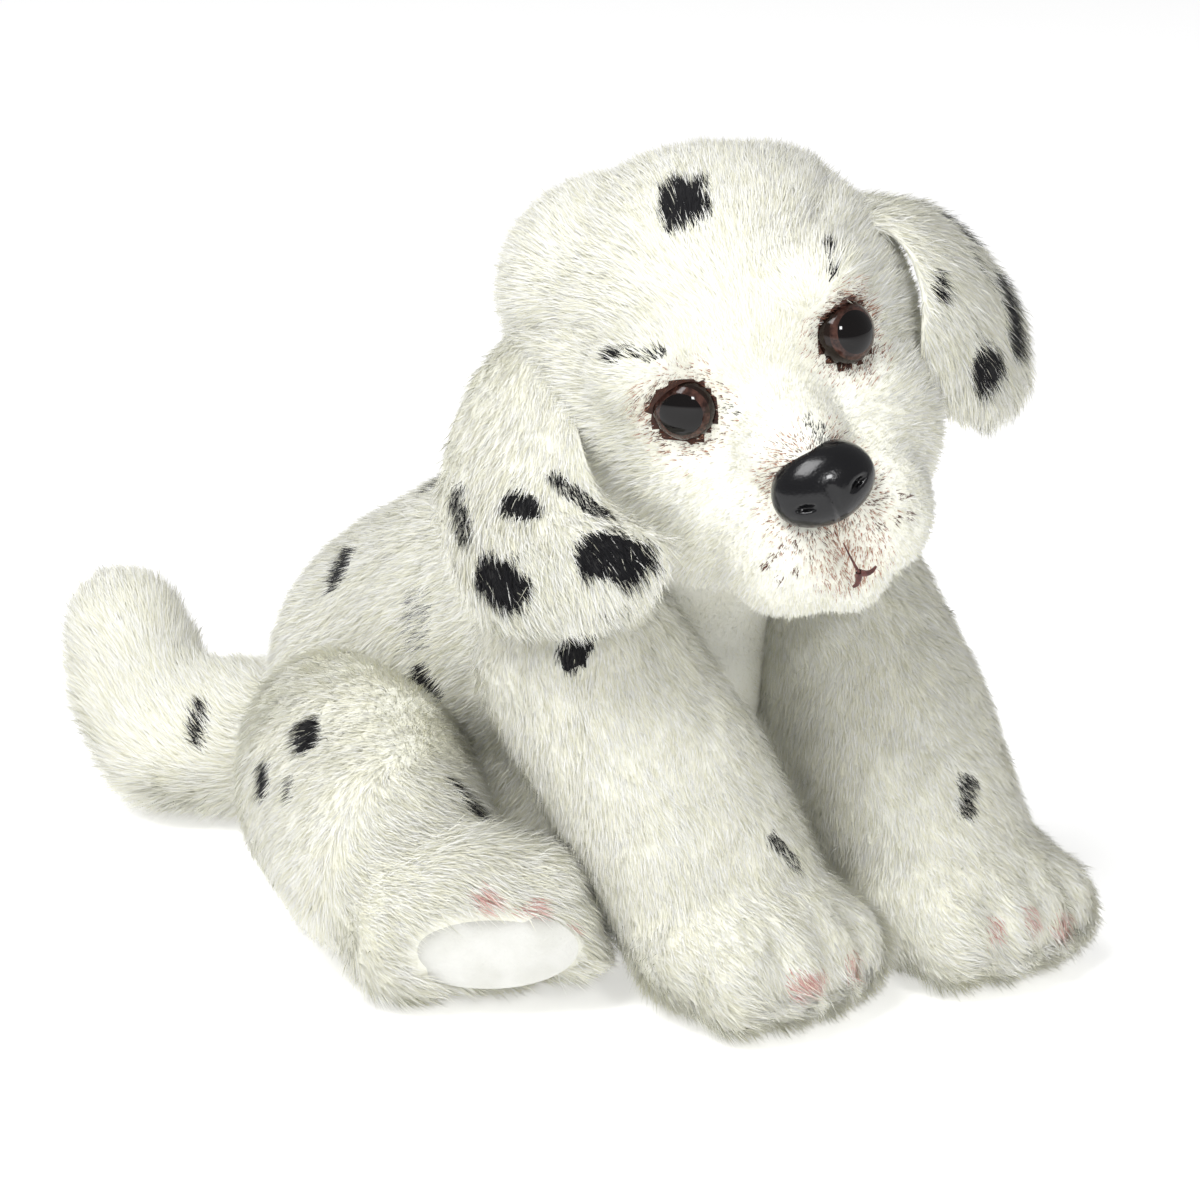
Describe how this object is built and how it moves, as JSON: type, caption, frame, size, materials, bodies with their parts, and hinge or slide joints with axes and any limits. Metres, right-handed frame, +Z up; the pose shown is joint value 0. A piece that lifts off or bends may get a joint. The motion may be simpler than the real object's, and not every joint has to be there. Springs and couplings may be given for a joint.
{
  "type": "plush dog",
  "caption": "Seated spotted puppy soft toy with cocked head, drooping ears, stuffed limbs and a thick tail.",
  "frame": {"origin": "middle of the flat seat, on the floor", "axes": "+Z up, the dog's body faces -Y, +X is the dog's left"},
  "size_m": [0.2214, 0.298, 0.207],
  "materials": {
    "plush_white": "long white pile with soft black spots",
    "plush_short": "short smooth white pile",
    "filling": "loose polyester fibre",
    "pouch_cloth": "plain cloth sack of pellets",
    "eye_plastic": "polished, black pupil and dark brown iris",
    "nose_plastic": "polished black",
    "washer_plastic": "moulded natural plastic",
    "thread": "dark red brown thread"
  },
  "bodies": {
    "torso": {"torso_right_panel": "plush_white", "torso_left_panel": "plush_white", "seat_panel": "plush_short", "chest_bib": "plush_short", "torso_stuffing": "filling", "pellet_pouch": "pouch_cloth"},
    "neck": {"neck_stuffing": "filling"},
    "head": {"head_skin": "plush_white", "muzzle": "plush_white", "head_stuffing": "filling", "right_eye": "eye_plastic", "left_eye": "eye_plastic", "right_eye_washer": "washer_plastic", "left_eye_washer": "washer_plastic", "nose": "nose_plastic", "nose_washer": "washer_plastic", "mouth_stitches": "thread"},
    "right_ear": {"right_ear": "plush_white", "right_ear_lining": "plush_short"},
    "left_ear": {"left_ear": "plush_white", "left_ear_lining": "plush_short"},
    "tail": {"tail_skin": "plush_white", "tail_stuffing": "filling"},
    "right_front_leg": {"right_front_leg_skin": "plush_white", "right_front_leg_stuffing": "filling", "right_front_leg_sole": "plush_short"},
    "right_hind_leg": {"right_hind_leg_skin": "plush_white", "right_hind_leg_stuffing": "filling", "right_hind_leg_sole": "plush_short"},
    "left_front_leg": {"left_front_leg_skin": "plush_white", "left_front_leg_stuffing": "filling", "left_front_leg_sole": "plush_short"},
    "left_hind_leg": {"left_hind_leg_skin": "plush_white", "left_hind_leg_stuffing": "filling", "left_hind_leg_sole": "plush_short"}
  },
  "joints": [
    {"name": "neck_turn", "type": "hinge", "parent": "torso", "child": "neck", "pos_m": [-0.004, -0.094, 0.116], "axis": [0, 0, 1], "range_deg": [-15, 20], "stiffness_Nm_per_rad": 0.8},
    {"name": "neck_nod", "type": "hinge", "parent": "neck", "child": "head", "pos_m": [-0.004, -0.094, 0.116], "axis": [0.866, -0.5, 0], "range_deg": [-10, 5], "stiffness_Nm_per_rad": 0.8},
    {"name": "right_ear_flap", "type": "hinge", "parent": "head", "child": "right_ear", "pos_m": [-0.06104, -0.07395, 0.16269], "axis": [0.238, 0.7753, -0.5851], "range_deg": [0, 35], "stiffness_Nm_per_rad": 0.03},
    {"name": "left_ear_flap", "type": "hinge", "parent": "head", "child": "left_ear", "pos_m": [0.02475, -0.12703, 0.20477], "axis": [-0.7384, -0.6708, 0.0699], "range_deg": [0, 30], "stiffness_Nm_per_rad": 0.03},
    {"name": "right_front_leg_swing", "type": "hinge", "parent": "torso", "child": "right_front_leg", "pos_m": [-0.042, -0.1, 0.082], "axis": [-1, 0, 0], "range_deg": [0, 30], "stiffness_Nm_per_rad": 0.6},
    {"name": "left_front_leg_swing", "type": "hinge", "parent": "torso", "child": "left_front_leg", "pos_m": [0.042, -0.1, 0.082], "axis": [-1, 0, 0], "range_deg": [0, 30], "stiffness_Nm_per_rad": 0.6},
    {"name": "right_hind_leg_splay", "type": "hinge", "parent": "torso", "child": "right_hind_leg", "pos_m": [-0.054, -0.008, 0.037], "axis": [0, 0, -1], "range_deg": [0, 20], "stiffness_Nm_per_rad": 0.5},
    {"name": "left_hind_leg_splay", "type": "hinge", "parent": "torso", "child": "left_hind_leg", "pos_m": [0.054, -0.008, 0.037], "axis": [0, 0, 1], "range_deg": [0, 20], "stiffness_Nm_per_rad": 0.5},
    {"name": "tail_wag", "type": "hinge", "parent": "torso", "child": "tail", "pos_m": [-0.02, 0.04, 0.023], "axis": [0, 0, 1], "range_deg": [-15, 15], "stiffness_Nm_per_rad": 0.1}
  ]
}
